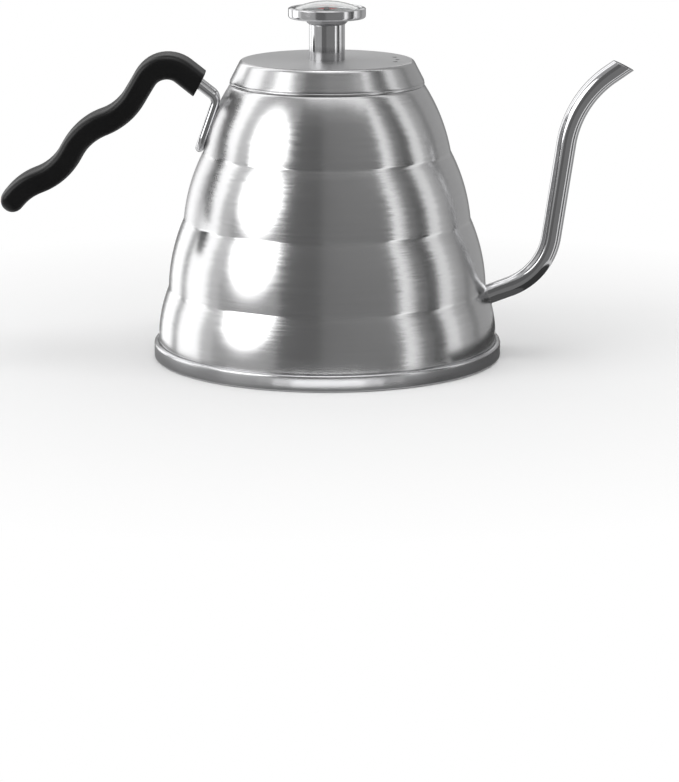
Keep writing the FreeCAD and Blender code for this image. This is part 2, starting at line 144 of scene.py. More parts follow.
def roundGrain(bench, along, across, detail=3.0):  # noise drawn out round the axis
    x, y, z = objectAxes(bench)
    radius = fromAxis(x, y) + grain["gap"]
    line = (z + radius * grain["slope"]) * across
    place = bench.add("ShaderNodeCombineXYZ", {}, {0: x / radius * along, 1: y / radius * along, 2: line})
    return noiseAt(bench, place, 1.0, detail)


def mixed(bench, share, first, second, blend="MIX"):
    settings = {"data_type": "RGBA", "blend_type": blend}
    return bench.add("ShaderNodeMix", settings, {0: share, 6: first, 7: second}, out=2)


def shaded(bench, mask, dark, light):  # a colour between two by a mask
    return mixed(bench, mask, (*dark, 1.0), (*light, 1.0))


def tintPair(look):  # the darker and the lighter tone of a metal
    return [[channel * share for channel in look["tint"]] for share in look["tones"]]


def bumped(bench, height, depth, normal=None):
    inputs = {"Strength": 1.0, "Distance": depth, "Height": height}
    if normal:
        inputs["Normal"] = normal
    return bench.add("ShaderNodeBump", {}, inputs)


def swayedNormal(bench, sway):  # the normal leans round the axis by a little that differs from line to line
    x, y, _ = objectAxes(bench)
    radius = fromAxis(x, y) + grain["gap"]
    lean = bench.add("ShaderNodeCombineXYZ", {}, {0: y / radius * sway * -1.0, 1: x / radius * sway, 2: 0.0})
    straight = bench.add("ShaderNodeNewGeometry", out="Normal")
    both = bench.add("ShaderNodeVectorMath", {"operation": "ADD"}, {0: straight, 1: lean})
    return bench.add("ShaderNodeVectorMath", {"operation": "NORMALIZE"}, {0: both})


def turnedSteel(name, look):  # steel brushed round the axis
    material, bench = newFinish(name)
    x, y, z = objectAxes(bench)
    fine = roundGrain(bench, look["along"], look["lines"])
    broad = roundGrain(bench, look["along"] * look["broadAlong"], look["lines"] * look["broadLines"])
    smudge = plainNoise(bench, look["smudgeScale"])
    rough = look["rough"] + (fine - 0.5) * look["spread"]
    rough = rough + (broad - 0.5) * look["spread"] * look["broadSpread"]
    rough = rough + (smudge - 0.5) * look["smudge"]
    tone = broad * look["broadTone"] + smudge * (1.0 - look["broadTone"])
    for height in look.get("creases", []):  # the creases are rubbed smoother, and their colour is lightened there as a painted highlight
        creaseRubAndHighlight = (1.0 - abs(z - height) / look["creaseWidth"]).between()
        rough = rough - creaseRubAndHighlight * look["creaseShine"]
        tone = tone + creaseRubAndHighlight * look["creaseHighlightTone"]
    if "topFrom" in look:  # a flat top that is brushed duller than the sides
        rough = rough + ((z - look["topFrom"]) / look["topFade"]).between() * look["topDull"]
    if "weldSide" in look:  # the wall by the handle's welds is brushed over again and duller
        side = (x / fromAxis(x, y) * -1.0 - look["weldSide"]) / look["weldFade"]
        above = (z - look["weldFrom"]) / look["weldRise"]
        rough = rough + side.between() * above.between() * look["weldDull"]
    colour = shaded(bench, tone.between(), *tintPair(look))
    if "paintedShadeTo" in look:  # painted shade: below a height the colour is darkened, as shade would fall in a low part
        paintedShade = ((look["paintedShadeTo"] - z) / look["paintedShadeFade"]).between()
        colour = mixed(bench, paintedShade, colour, (*[look["paintedShadeTone"]] * 3, 1.0), "MULTIPLY")
    streak = roundGrain(bench, look["along"] * look["streakAlong"], look["streaks"], detail=2.0)
    leaning = swayedNormal(bench, (streak - 0.5) * look["sway"])
    closeFinish(bench, {
        "Base Color": colour,
        "Metallic": 1.0,
        "Roughness": rough.between(0.05, 0.9),
        "Anisotropic": look["aniso"],
        "Anisotropic Rotation": 0.25,
        "Normal": bumped(bench, fine * 0.5 + broad * 0.5, look["relief"], leaning),
    })
    return material


def polishedSteel(name, look):
    material, bench = newFinish(name)
    smudge = plainNoise(bench, look["smudgeScale"])
    hair = plainNoise(bench, look["hairScale"], detail=5.0)
    rough = look["rough"] + (smudge - 0.5) * look["smudge"] + (hair - 0.5) * look["hair"]
    closeFinish(bench, {
        "Base Color": shaded(bench, smudge, *tintPair(look)),
        "Metallic": 1.0,
        "Roughness": rough.between(0.03, 0.9),
        "Normal": bumped(bench, hair, look["relief"]),
    })
    return material


def mattBlack(name, look):  # moulded plastic with a fine spark grain
    material, bench = newFinish(name)
    spark = plainNoise(bench, look["sparkScale"], detail=2.0)
    handled = plainNoise(bench, look["handledScale"])
    rough = look["rough"] + (handled - 0.5) * look["handled"] + (spark - 0.5) * look["spark"]
    closeFinish(bench, {
        "Base Color": shaded(bench, handled, look["dark"], look["light"]),
        "Roughness": rough.between(0.2, 0.95),
        "Specular IOR Level": look["sheen"],
        "Normal": bumped(bench, spark, look["relief"]),
    })
    return material


def inkOrPaint(name, look):
    material, bench = newFinish(name)
    patch = plainNoise(bench, look["scale"])
    patchSpread = 0.12
    closeFinish(bench, {
        "Base Color": shaded(bench, patch, look["dark"], look["light"]),
        "Metallic": look.get("metal", 0.0),
        "Roughness": (look["rough"] + (patch - 0.5) * patchSpread).between(0.05, 0.95),
        "Specular IOR Level": look.get("sheen", 0.5),
        "Normal": bumped(bench, patch, look["relief"]),
    })
    return material


def clearDome(name, look):
    material, bench = newFinish(name)
    wiped = plainNoise(bench, look["scale"], detail=4.0)
    closeFinish(bench, {
        "Base Color": shaded(bench, wiped, look["dark"], look["light"]),
        "Roughness": (wiped * look["haze"]).between(0.0, 0.1),
        "IOR": look["ior"],
        "Transmission Weight": 1.0,
    })
    return material


shellLook = {
    "tint": (0.63, 0.63, 0.635), "tones": (0.93, 1.05), "rough": 0.21, "spread": 0.09, "aniso": 0.35,
    "along": 3.0, "lines": 5200.0, "relief": 1.5e-6,
    "broadAlong": 0.4, "broadLines": 0.16, "broadSpread": 0.8, "broadTone": 0.6,
    "streakAlong": 2.0, "streaks": 3000.0, "sway": 0.075, "smudge": 0.04, "smudgeScale": 30.0,
}
# along each crease the roughness drops and the colour is lightened; the lighter colour is a painted highlight
creaseLook = {"creaseWidth": 0.0012, "creaseShine": 0.06, "creaseHighlightTone": 0.5}
knobLook = dict(shellLook, tint=(0.7, 0.7, 0.71), rough=0.15, spread=0.06, relief=1e-6, aniso=0.2, sway=0.015)
turnedLooks = {
    "brushedShell": dict(shellLook, **creaseLook, creases=[0.0304, 0.06, 0.089], weldSide=0.74, weldFade=0.14,
                         weldFrom=0.058, weldRise=0.004, weldDull=0.1),
    "brushedLid": dict(shellLook, tint=(0.6, 0.6, 0.605), rough=0.22, aniso=0.25, sway=0.04,
                       topFrom=0.12805, topFade=0.0001, topDull=0.2),
    "satinFoot": dict(shellLook, **creaseLook, creases=[0.0066], tint=(0.58, 0.58, 0.59), rough=0.3,
                      along=5.0),
    # painted shade darkens the neck under the cup, and the post's foot by the lid
    "turnedKnob": dict(knobLook, paintedShadeTo=0.1459, paintedShadeFade=0.0006, paintedShadeTone=0.55),
    "turnedPost": dict(knobLook, rough=0.1, spread=0.05, aniso=0.0,
                       paintedShadeTo=0.1345, paintedShadeFade=0.002, paintedShadeTone=0.72),
    # a lighter copy of the knob's steel for the bezel, as a painted highlight along the rim
    "highlitBezel": dict(knobLook, tint=(0.9, 0.9, 0.91)),
    "plainSteel": dict(shellLook, rough=0.32, aniso=0.2),
}
brightLook = {
    "tint": (0.64, 0.64, 0.65), "tones": (0.95, 1.04), "rough": 0.1, "smudge": 0.06, "smudgeScale": 70.0,
    "hair": 0.04, "hairScale": 1800.0, "relief": 5e-7,
}
polishedLooks = {
    "brightTube": brightLook,
    "weldSteel": dict(brightLook, rough=0.24, tint=(0.6, 0.59, 0.58), relief=8e-6),
}
paintLooks = {
    "sealGrey": {"dark": (0.4, 0.4, 0.4), "light": (0.5, 0.5, 0.5), "rough": 0.6, "scale": 900.0,
                 "relief": 1e-5},
    # the plate is painted dark grey instead of pale lacquer, as painted shade in the recess under the dome
    "shadedDialPlate": {"dark": (0.25, 0.25, 0.25), "light": (0.3, 0.3, 0.297), "rough": 0.4, "scale": 700.0,
                  "relief": 2e-6, "sheen": 0.0},
    "blackInk": {"dark": (0.012, 0.012, 0.012), "light": (0.022, 0.022, 0.022), "rough": 0.45,
                 "scale": 1500.0, "relief": 2e-6, "sheen": 0.2},
    "redInk": {"dark": (0.5, 0.03, 0.03), "light": (0.6, 0.05, 0.045), "rough": 0.45, "scale": 1500.0,
               "relief": 2e-6, "sheen": 0.0},
    "brass": {"dark": (0.6, 0.42, 0.2), "light": (0.72, 0.54, 0.28), "rough": 0.3, "scale": 800.0,
              "relief": 4e-6, "metal": 1.0},
    "bimetal": {"dark": (0.5, 0.38, 0.24), "light": (0.66, 0.52, 0.34), "rough": 0.35, "scale": 600.0,
                "relief": 4e-6, "metal": 1.0},
    "rolledAluminium": {"dark": (0.66, 0.66, 0.67), "light": (0.76, 0.76, 0.78), "rough": 0.5, "scale": 400.0,
                        "relief": 2e-5, "metal": 1.0},
}
blackLooks = {
    "gripBlack": {"dark": (0.003, 0.003, 0.0032), "light": (0.006, 0.006, 0.0063), "rough": 0.32,
                  "sheen": 0.3, "handled": 0.1, "handledScale": 55.0, "spark": 0.1, "sparkScale": 2600.0,
                  "relief": 2e-5},
}
clearLooks = {
    "clearDome": {"dark": (0.88, 0.89, 0.89), "light": (0.92, 0.925, 0.925), "scale": 160.0, "haze": 0.02,
                  "ior": 1.49},
}
finishes = {}
for make, looks in ((turnedSteel, turnedLooks), (polishedSteel, polishedLooks), (inkOrPaint, paintLooks),
                    (mattBlack, blackLooks), (clearDome, clearLooks)):
    finishes.update({name: make(name, look) for name, look in looks.items()})
print("finishes ready:", len(finishes))


def openTree(name, sizes):
    tree = bpy.data.node_groups.new(name, "GeometryNodeTree")
    tree.interface.new_socket(name="line", in_out="INPUT", socket_type="NodeSocketGeometry")
    handles = {}
    for label, value in sizes.items():
        kind = "NodeSocketInt" if isinstance(value, int) else "NodeSocketFloat"
        socket = tree.interface.new_socket(name=label, in_out="INPUT", socket_type=kind)
        socket.default_value = value
        handles[label] = socket.identifier
    socket = tree.interface.new_socket(name="finish", in_out="INPUT", socket_type="NodeSocketMaterial")
    handles["finish"] = socket.identifier
    tree.interface.new_socket(name="shape", in_out="OUTPUT", socket_type="NodeSocketGeometry")
    bench = Bench(tree)
    return bench, bench.add("NodeGroupInput"), handles


def closeTree(bench, given, shape):
    whole = bench.add("GeometryNodeRealizeInstances", {}, {"Geometry": shape})
    smooth = bench.add("GeometryNodeSetShadeSmooth", {}, {"Geometry": whole})
    dressed = bench.add("GeometryNodeSetMaterial", {}, {"Geometry": smooth, "Material": given.out("finish")})
    bench.add("NodeGroupOutput", {}, {0: dressed})


def placeObject(name, data):
    holder = bpy.data.objects.new(name, data)
    scene.collection.objects.link(holder)
    return holder


def bakedMesh(host):
    bpy.context.view_layer.update()
    depsgraph = bpy.context.evaluated_depsgraph_get()
    return bpy.data.meshes.new_from_object(host.evaluated_get(depsgraph), depsgraph=depsgraph)


def runTree(name, tree, points, closed, values, widths=None):  # a chain of points in, a plain mesh out
    bench, handles = tree
    chain = bpy.data.meshes.new(name + "Line")
    links = [(index, index + 1) for index in range(len(points) - 1)]
    if closed:
        links.append((len(points) - 1, 0))
    chain.from_pydata([tuple(point) for point in points], links, [])
    if widths:
        chain.attributes.new("radius", "FLOAT", "POINT").data.foreach_set("value", widths)
    host = placeObject(name + "Line", chain)
    modifier = host.modifiers.new("shape", "NODES")
    modifier.node_group = bench.tree
    for label, value in values.items():
        modifier[handles[label]] = value
    mesh = bakedMesh(host)
    host.modifiers.clear()
    bpy.data.objects.remove(host)
    mesh.name = name
    return mesh


def meshFrom(name, shape):
    mesh = bpy.data.meshes.new(name)
    shape.to_mesh(mesh)
    shape.free()
    return mesh


def joinRows(shape, rows):  # a skin over rings of equal count, with a cap at each end
    for row, following in zip(rows, rows[1:]):
        for index in range(len(row)):
            onward = (index + 1) % len(row)
            shape.faces.new((row[index], row[onward], following[onward], following[index]))
    shape.faces.new(rows[0])
    shape.faces.new(rows[-1])


def tidyMesh(mesh, sharpAngle=35.0, work=None, mergeGap=1e-7, sliver=1e-8):
    shape = bmesh.new()
    shape.from_mesh(mesh)
    bmesh.ops.remove_doubles(shape, verts=shape.verts, dist=mergeGap)
    if work:
        work(shape)
    bmesh.ops.dissolve_degenerate(shape, edges=shape.edges, dist=sliver)
    bmesh.ops.recalc_face_normals(shape, faces=shape.faces)
    for face in shape.faces:
        face.smooth = True
    shape.to_mesh(mesh)
    shape.free()
    mesh.set_sharp_from_angle(angle=math.radians(sharpAngle))
    return mesh


def addPiece(name, mesh, body, slot, finish, *nodes):
    mesh.materials.clear()
    mesh.materials.append(finishes[finish])
    piece = placeObject(name, mesh)
    if nodes:
        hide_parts(*nodes)
    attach(piece, body)


turningSizes = {"segments": 128, "hoop": 0.05}  # the profile is carried round a hoop on the axis


def turnedShape(bench, given):
    hoop = bench.add("GeometryNodeCurvePrimitiveCircle", {"mode": "RADIUS"},
                     {"Resolution": given.out("segments"), "Radius": given.out("hoop")})
    outline = bench.add("GeometryNodeMeshToCurve", {}, {0: given.out("line")})
    return bench.add("GeometryNodeCurveToMesh", {}, {"Curve": hoop, "Profile Curve": outline})


def arcRow(bench, given, height):  # points along an arc at that height
    row = bench.add("GeometryNodeCurveArc", {"mode": "RADIUS"}, {
        "Resolution": given.out("count"), "Radius": given.out("ring"), "Start Angle": given.out("from"),
        "Sweep Angle": given.out("sweep")})
    lift = bench.add("ShaderNodeCombineXYZ", {}, {2: height})
    return bench.add("GeometryNodeSetPosition", {}, {"Geometry": row, "Offset": lift})


def turningTree():
    bench, given, handles = openTree("turning", turningSizes)
    closeTree(bench, given, turnedShape(bench, given))
    return bench, handles


def bendingTree():  # a round bar or pipe wall carried along a bent line
    bench, given, handles = openTree("bending", {"radius": 0.002, "sides": 24, "caps": 0})
    ring = bench.add("GeometryNodeCurvePrimitiveCircle", {"mode": "RADIUS"},
                     {"Resolution": given.out("sides"), "Radius": given.out("radius")})
    line = bench.add("GeometryNodeMeshToCurve", {}, {0: given.out("line")})
    shape = bench.add("GeometryNodeCurveToMesh", {}, {
        "Curve": line, "Profile Curve": ring, "Scale": bench.add("GeometryNodeInputRadius"),
        "Fill Caps": given.out("caps")})
    closeTree(bench, given, shape)
    return bench, handles


def drillTree():  # a row of holes through a turned piece
    bench, given, handles = openTree("drilling", dict(turningSizes, **{
        "count": 3, "ring": 0.03, "bore": 0.001, "sides": 28, "from": 0.0, "sweep": 0.5, "height": 0.128,
        "depth": 0.004}))
    drill = bench.add("GeometryNodeMeshCylinder", {}, {
        "Vertices": given.out("sides"), "Radius": given.out("bore"), "Depth": given.out("depth")})
    row = arcRow(bench, given, given.out("height"))
    drills = bench.add("GeometryNodeInstanceOnPoints", {}, {"Points": row, "Instance": drill})
    drills = bench.add("GeometryNodeRealizeInstances", {}, {"Geometry": drills})
    cut = bench.add("GeometryNodeMeshBoolean", {"operation": "DIFFERENCE"},
                    {"Mesh 1": turnedShape(bench, given), "Mesh 2": drills})
    closeTree(bench, given, cut)
    return bench, handles


turning = turningTree()
bending = bendingTree()
drilling = drillTree()


def arcCentre(start, finish, radius, turn):
    chord = finish - start
    rise = math.sqrt(max(0.0, radius * radius - chord.length_squared / 4))
    return (start + finish) / 2 + Vector((-chord.y, chord.x)).normalized() * rise * turn


def runPoints(start, finish, bulge, step):  # a straight run, or an arc where bulge gives its radius
    count = max(1, math.ceil((finish - start).length / step))
    if not bulge:
        return [start.lerp(finish, index / count) for index in range(count + 1)]
    centre = arcCentre(start, finish, abs(bulge), math.copysign(1, bulge))
    first = start - centre
    sweep = first.angle_signed(finish - centre)
    return [centre + Matrix.Rotation(-sweep * index / count, 2) @ first for index in range(count + 1)]


def shortened(points, reach):  # the chain with its last stretch of that length taken off
    left = reach
    kept = list(points)
    while len(kept) > 2 and (kept[-1] - kept[-2]).length <= left:
        left -= (kept[-1] - kept[-2]).length
        kept.pop()
    kept[-1] = kept[-1] + (kept[-2] - kept[-1]).normalized() * left
    return kept


def softProfile(corners, closed, step, cornerParts=6, closeGap=1e-4):
    # a corner is (radius, height, softness, bulge): softness rounds it, bulge bends the run that follows
    full = [(*corner, 0.0, 0.0)[:4] for corner in corners]
    places = [Vector(corner[:2]) for corner in full]
    count = len(places) if closed else len(places) - 1
    runs = []
    for index in range(count):
        following = (index + 1) % len(places)
        run = runPoints(places[index], places[following], full[index][3], step)
        startSoft = full[index][2] if closed or index else 0.0
        endSoft = full[following][2] if closed or following < count else 0.0
        run = shortened(run, endSoft) if endSoft else run
        runs.append(shortened(run[::-1], startSoft)[::-1] if startSoft else run)
    line = []
    for index, run in enumerate(runs):
        line += run
        following = runs[(index + 1) % len(runs)]
        corner = places[(index + 1) % len(places)]
        if (closed or index + 1 < len(runs)) and (following[0] - run[-1]).length > closeGap:
            for part in range(1, cornerParts):
                share = part / cornerParts
                line.append(run[-1].lerp(corner, share).lerp(corner.lerp(following[0], share), share))
    clean = [line[0]]
    for point in line[1:]:
        if (point - clean[-1]).length > closeGap:
            clean.append(point)
    if closed and (clean[-1] - clean[0]).length < closeGap:
        clean.pop()
    return clean


def turnedPiece(name, piece, body, slot, node=None, tree=turning, extra=None):
    closed = piece.get("closed", True)
    hoop = turningSizes["hoop"]
    profile = softProfile(piece["corners"], closed, piece.get("step", 1.0))
    points = [(point.x * mm - hoop, -point.y * mm, 0.0) for point in profile]
    values = {"segments": piece["segments"], "hoop": hoop, "finish": finishes[piece["finish"]]}
    values.update(extra or {})
    mesh = tidyMesh(runTree(name, tree, points, closed, values))
    addPiece(name, mesh, body, slot, piece["finish"], *([node] if node else []))


def bentLine(corners, step):  # straight runs joined by tangent arcs: (x, z) or (x, z, bend)
    places = [Vector(corner[:2]) for corner in corners]
    line = [places[0]]
    for before, corner, after, spec in zip(places, places[1:], places[2:], corners[1:]):
        back = (before - corner).normalized()
        onward = (after - corner).normalized()
        reach = spec[2] / math.tan(back.angle(onward) / 2)
        turn = -1.0 if back.cross(onward) > 0 else 1.0
        arc = runPoints(corner + back * reach, corner + onward * reach, spec[2] * turn, step)
        line += runPoints(line[-1], arc[0], 0.0, step)[1:] + arc[1:]
    return line + runPoints(line[-1], places[-1], 0.0, step)[1:]


# the body: four tiers between creases, a folded mouth and the flange that the foot closes on
tiers = {
    "stations": [(73.0, 6.4), (68.5, 30.4), (61.7, 60.0), (53.0, 89.0), (41.9, 117.0)],
    "bulges": [59.0, 78.0, 78.0, 78.0],
    "sheet": 0.6,
    "creaseSoft": 0.35,
}


def tierCorners(inward, downward):
    soft = tiers["creaseSoft"]
    rows = [[radius - inward, height, soft] for radius, height in tiers["stations"]]
    bulges = tiers["bulges"]
    if downward:
        rows.reverse()
        bulges = [-bulge for bulge in reversed(bulges)]
    return [(*row, bulge) for row, bulge in zip(rows, bulges)] + [tuple(rows[-1])]


def wallRadius(height):  # outside of the wall, in millimetres
    stations = [Vector(station) for station in tiers["stations"]]
    for low, high, bulge in zip(stations, stations[1:], tiers["bulges"]):
        if height <= high.y or high is stations[-1]:
            centre = arcCentre(low, high, bulge, 1.0)
            return centre.x + math.sqrt(bulge * bulge - (height - centre.y) ** 2)


spout = {
    "path": [(60.0, 22.7), (94.3, 35.5, 27.5), (105.2, 111.1, 44.0), (129.2, 127.7)],
    "radius": 4.25, "bore": 3.65, "sides": 40, "step": 1.0, "rootGap": 4.5, "rootSink": 0.3, "rootSlack": 0.2,
    "tip": (126.3, 125.7), "tipSlant": 26.3, "tipEdge": 0.12, "sharp": 50.0,
}


def wallHit(point, heading, sink, span=30.0, halvings=40):  # how far along the heading the wall lies
    near, far = -span, span
    for _ in range(halvings):
        middle = (near + far) / 2
        place = point + heading * middle
        outside = math.hypot(place.x, place.y) > wallRadius(place.z) - sink
        near, far = (near, middle) if outside else (middle, far)
    return near


def makeSpout():
    start = Vector((spout["path"][0][0], 0.0, spout["path"][0][1]))
    corner = Vector((spout["path"][1][0], 0.0, spout["path"][1][1]))
    heading = (corner - start).normalized()
    upright = Vector((-heading.z, 0, heading.x))
    free = start + heading * (wallHit(start, heading, 0.0) + spout["rootGap"])
    line = bentLine([(free.x, free.z), *spout["path"][1:]], spout["step"])
    points = [(point.x * mm, 0.0, point.y * mm) for point in line]
    tip = Vector((spout["tip"][0], 0.0, spout["tip"][1])) * mm
    slant = math.radians(spout["tipSlant"])
    tipNormal = Vector((math.sin(slant), 0.0, math.cos(slant)))
    cutGap = 1e-6  # how near the cut an edge lies to count as part of it
    root = []

    def atTip(edge):
        return abs((edge.verts[0].co - tip).dot(tipNormal)) < cutGap

    def workEnds(shape):  # the root follows the wall, the tip is cut on a slant
        openEdges = [edge for edge in shape.edges if edge.is_boundary]
        middles = [(edge.verts[0].co + edge.verts[1].co) / 2 for edge in openEdges]
        middle = sum(middles, Vector()) / len(middles)
        low = [edge for edge in openEdges if edge.verts[0].co.z < middle.z]
        grown = bmesh.ops.extrude_edge_only(shape, edges=low)["geom"]
        for vert in [item for item in grown if isinstance(item, bmesh.types.BMVert)]:
            place = vert.co / mm
            vert.co = (place + heading * wallHit(place, heading, spout["rootSink"])) * mm
            if math.hypot((place - free).dot(upright), place.y) > spout["radius"] - spout["rootSlack"]:
                root.append(vert.co.copy())
        everything = [*shape.verts, *shape.edges, *shape.faces]
        bmesh.ops.bisect_plane(shape, geom=everything, plane_co=tip, plane_no=tipNormal, clear_outer=True)
        openEdges = [edge for edge in shape.edges if edge.is_boundary]
        rim = [edge for edge in openEdges if atTip(edge)]
        bmesh.ops.bridge_loops(shape, edges=[edge for edge in openEdges if not atTip(edge)])
        lips = bmesh.ops.bridge_loops(shape, edges=rim)["faces"]
        lipEdges = {edge for face in lips for edge in face.edges}
        lipEdges = [edge for edge in lipEdges if sum(face in lips for face in edge.link_faces) == 1]
        bmesh.ops.bevel(shape, geom=lipEdges, offset=spout["tipEdge"] * mm, segments=2, profile=0.5,
                        affect="EDGES")

    wall = bmesh.new()
    for radius in (spout["radius"], spout["bore"]):
        values = {"radius": radius * mm, "sides": spout["sides"], "finish": finishes["brightTube"]}
        wall.from_mesh(runTree("spoutWall", bending, points, False, values, [1.0] * len(points)))
    mesh = tidyMesh(meshFrom("spout_pipe", wall), spout["sharp"], workEnds)
    addPiece("spout_pipe", mesh, "kettle", "bright_steel", "brightTube", "spout_tube")
    return root, heading


spoutRoot, spoutHeading = makeSpout()
print("spout bent, root points", len(spoutRoot))

upward = tierCorners(0.0, False)
inside = tierCorners(tiers["sheet"], True)
bodyShell = {
    "corners": [
        (74.3, 5.8, 0.1), (74.3, 6.4, 0.2), (*upward[0][:2], 0.3, upward[0][3]), *upward[1:-1],
        (41.9, 117.0, 0.4), (41.0, 118.0, 0.5), (37.9, 118.0, 0.9), (37.9, 113.0, 0.2), (38.5, 113.0, 0.2),
        (38.5, 117.4, 0.3), (40.7, 117.4, 0.3), *inside[:-1], (*inside[-1][:2], 0.3), (72.4, 5.8, 0.1),
    ],
    "segments": 192, "finish": "brushedShell",
}
turnedPiece("tiered_body", bodyShell, "kettle", "brushed_shell", "body_shell")
print("body turned")

lidCap = {
    "corners": [
        (4.05, 127.6), (35.9, 127.6, 0.6), (36.4, 127.1, 0.3), (40.1, 119.9, 0.1), (40.1, 118.3, 0.15),
        (40.85, 118.3, 0.1), (41.35, 117.75, 0.2), (41.65, 118.2, 0.4), (41.5, 118.75, 0.25),
        (41.1, 119.1, 0.12), (41.45, 119.4, 0.12), (36.88, 128.2, 1.3), (4.05, 128.2, 0.1),
    ],
    "segments": 160, "finish": "brushedLid", "step": 0.8,
}
vents = {
    "count": 3, "sides": 28, "ring": 30.0 * mm, "bore": 1.1 * mm, "height": 128.0 * mm, "depth": 4.0 * mm,
    "from": math.radians(-15.0), "sweep": math.radians(30.0),
}
turnedPiece("lid_shell", lidCap, "lid", "brushed_shell", "lid_cap", drilling, vents)

foot = {
    "corners": [
        (0.0, 0.0), (75.0, 0.0, 1.2), (75.0, 7.1, 1.3), (73.4, 7.1, 0.25), (73.4, 6.4, 0.1), (74.4, 6.4, 0.1),
        (74.4, 0.6, 0.3), (0.0, 0.6),
    ],
    "closed": False, "segments": 192, "finish": "satinFoot", "step": 3.0,
}
turnedPiece("foot_cap", foot, "kettle", "satin_foot", "base_cap")

post = {
    "corners": [
        (2.1, 121.5), (4.0, 121.5, 0.2), (4.0, 128.2), (7.6, 128.2), (7.6, 143.4, 0.3), (5.0, 143.4),
        (5.0, 131.2), (2.1, 131.2),
    ],
    "segments": 96, "finish": "turnedPost",
}
turnedPiece("turned_post", post, "lid", "bright_steel", "knob_post")

cup = {
    "corners": [
        (2.05, 139.5), (4.95, 139.5), (4.95, 143.4), (7.8, 143.4, 0.1, 3.0), (9.2, 145.8, 0.15),
        (16.5, 145.8, 1.4), (16.5, 149.95, 0.1), (15.72, 150.4, 0.1), (15.72, 148.85), (14.2, 148.85),
        (14.2, 146.6), (2.05, 146.6),
    ],
    "segments": 128, "finish": "turnedKnob", "step": 0.8,
}
turnedPiece("dial_case", cup, "lid", "bright_steel", "knob_cup")

bezel = {
    "corners": [(14.9, 149.65, 0.1), (15.66, 149.65, 0.1), (15.66, 150.38, 0.1), (14.95, 150.38, 0.2)],
    "segments": 128, "finish": "highlitBezel", "step": 0.4,
}
turnedPiece("dial_bezel", bezel, "lid", "bright_steel", "bezel_ring")

dome = {
    "corners": [
        (0.0, 152.1, 0.0, -32.48), (13.08, 149.35, 0.1), (15.6, 149.35, 0.1), (15.6, 149.65, 0.1),
        (14.8, 149.65, 0.1, 33.48), (0.0, 153.1),
    ],
    "closed": False, "segments": 96, "finish": "clearDome", "step": 0.7,
}
turnedPiece("dial_dome", dome, "lid", "clear", "lens")

hubCap = {
    "corners": [(0.8, 149.98), (1.9, 149.98, 0.1), (1.9, 150.1, 0.1, 6.0), (0.0, 150.55)],
    "closed": False, "segments": 48, "finish": "blackInk", "step": 0.2,
}
turnedPiece("hub_cap", hubCap, "pointer", "needle_black")
print("turned pieces done")

# the handle: one hairpin of wire and the black grip on it
wire = {
    "leg": [(-81.9, 112.9), (-70.9, 131.1, 11.0), (-46.9, 112.1, 4.0), (-52.7, 95.7)],
    "radius": 1.8, "gap": 11.4, "sides": 28, "step": 0.6, "turnParts": 24,
}
grip = {
    "path": [(-54.3, 117.9), (-70.9, 131.1, 11.0), (-86.7, 105.0, 26.0), (-104.2, 98.2, 26.0),
             (-114.5, 80.3, 26.0), (-129.7, 74.2, 24.0), (-134.8, 68.4)],
    "thickness": [(-140, 5.1), (-125, 5.2), (-108, 5.25), (-97, 5.4), (-88, 5.2), (-80, 5.1), (-70, 5.45),
                  (-50, 5.5)],
    "halfWidth": 10.0, "fullness": 4.4, "sides": 112, "step": 1.2, "sharp": 60.0,
    "faceRound": 0.45, "faceSlant": 10.0, "faceParts": 5, "faceClear": 0.6, "endParts": 12,
}
elbow = Vector(wire["leg"][2][:2])  # where a leg bends down to the wall
ankle = Vector(wire["leg"][3])  # where the hairpin's round end begins


def makeWire():
    half = wire["gap"] / 2
    leg = bentLine(wire["leg"], wire["step"])
    down = (ankle - elbow).normalized()
    points = [Vector((point.x, -half, point.y)) for point in leg]
    for part in range(1, wire["turnParts"]):
        turn = math.pi * part / wire["turnParts"]
        sunk = ankle + down * half * math.sin(turn)
        points.append(Vector((sunk.x, -half * math.cos(turn), sunk.y)))
    points += [Vector((point.x, half, point.y)) for point in reversed(leg)]
    points = [point * mm for point in points]
    values = {
        "radius": wire["radius"] * mm, "sides": wire["sides"], "caps": 1, "finish": finishes["brightTube"],
    }
    mesh = runTree("handle_hairpin", bending, points, False, values, [1.0] * len(points))
    addPiece("handle_hairpin", tidyMesh(mesh), "kettle", "bright_steel", "brightTube", "handle_wire")


def halfThickness(reach):
    table = grip["thickness"]
    for (low, lowValue), (high, highValue) in zip(table, table[1:]):
        if reach <= high:
            share = (reach - low) / (high - low)
            share = share * share * (3 - 2 * share)
            return lowValue + (highValue - lowValue) * share
    return table[-1][1]


def fullRound(value):  # a sine or cosine pushed outwards, which squares a round section
    return math.copysign(abs(value) ** (2 / grip["fullness"]), value)


